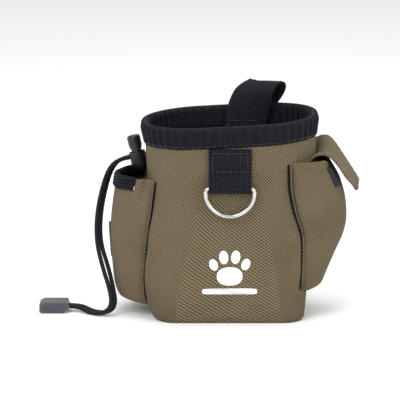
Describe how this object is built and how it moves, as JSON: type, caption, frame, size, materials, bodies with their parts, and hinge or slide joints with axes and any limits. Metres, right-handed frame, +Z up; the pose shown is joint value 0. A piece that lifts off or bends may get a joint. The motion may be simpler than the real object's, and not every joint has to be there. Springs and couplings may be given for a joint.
{
  "type": "treat pouch",
  "caption": "Soft standing bag with a stiff round mouth, side pockets, a flap, a D-ring on a tab, a webbing belt loop and a drawcord with a lock and end clip.",
  "frame": {"origin": "centre of the underside of the base", "axes": "+Z up, +X to the right when looking at the front, front faces -Y"},
  "size_m": [0.2235, 0.1116, 0.1577],
  "materials": {
    "outer_fabric": "matt oxford weave with a diagonal grain",
    "black_webbing": "ribbed woven tape",
    "black_lining": "matt brushed cloth",
    "braided_cord": "braided",
    "hook_tape": "hook-and-loop tape",
    "ring_metal": "polished nickel plate",
    "eyelet_metal": "dark plated",
    "spring_metal": "drawn wire",
    "lock_plastic": "moulded, satin",
    "clip_plastic": "moulded, satin",
    "board_plastic": "sheet",
    "hoop_plastic": "extruded rod"
  },
  "bodies": {
    "pouch": {"base_panel": "outer_fabric", "body_shell": "outer_fabric", "base_stiffener": "board_plastic", "lining": "black_lining", "rim_hoop": "hoop_plastic", "rim_binding": "black_webbing", "closure_collar": "black_lining", "cord_eyelet": "eyelet_metal", "front_tab": "black_webbing", "rear_loop": "black_webbing", "left_pocket": "outer_fabric", "left_pocket_binding": "black_webbing", "slot_trim": "lock_plastic", "right_pocket": "outer_fabric", "pocket_loop_patch": "hook_tape", "cord_lock_barrel": "lock_plastic", "cord_lock_spring": "spring_metal", "drawcord_loop": "braided_cord", "drawcord_strand_a": "braided_cord", "drawcord_strand_b": "braided_cord", "cord_clip_upper": "clip_plastic", "cord_clip_lower": "clip_plastic"},
    "ring": {"d_ring": "ring_metal"},
    "flap": {"pocket_flap": "outer_fabric", "flap_hook_patch": "hook_tape"},
    "plunger": {"cord_lock_plunger": "lock_plastic"}
  },
  "joints": [
    {"name": "ring_swing", "type": "hinge", "parent": "pouch", "child": "ring", "pos_m": [0, -0.0505, 0.097], "axis": [-1, 0, 0], "range_deg": [-8, 150]},
    {"name": "flap_hinge", "type": "hinge", "parent": "pouch", "child": "flap", "pos_m": [0.0628, 0, 0.1165], "axis": [0, -1, 0], "range_deg": [-10, 100]},
    {"name": "lock_press", "type": "slide", "parent": "pouch", "child": "plunger", "axis": [0.2212, -0.0361, -0.9746], "range_m": [0, 0.0035], "stiffness_N_per_m": 800, "springref_m": -0.002, "deforming": ["cord_lock_spring"]}
  ]
}
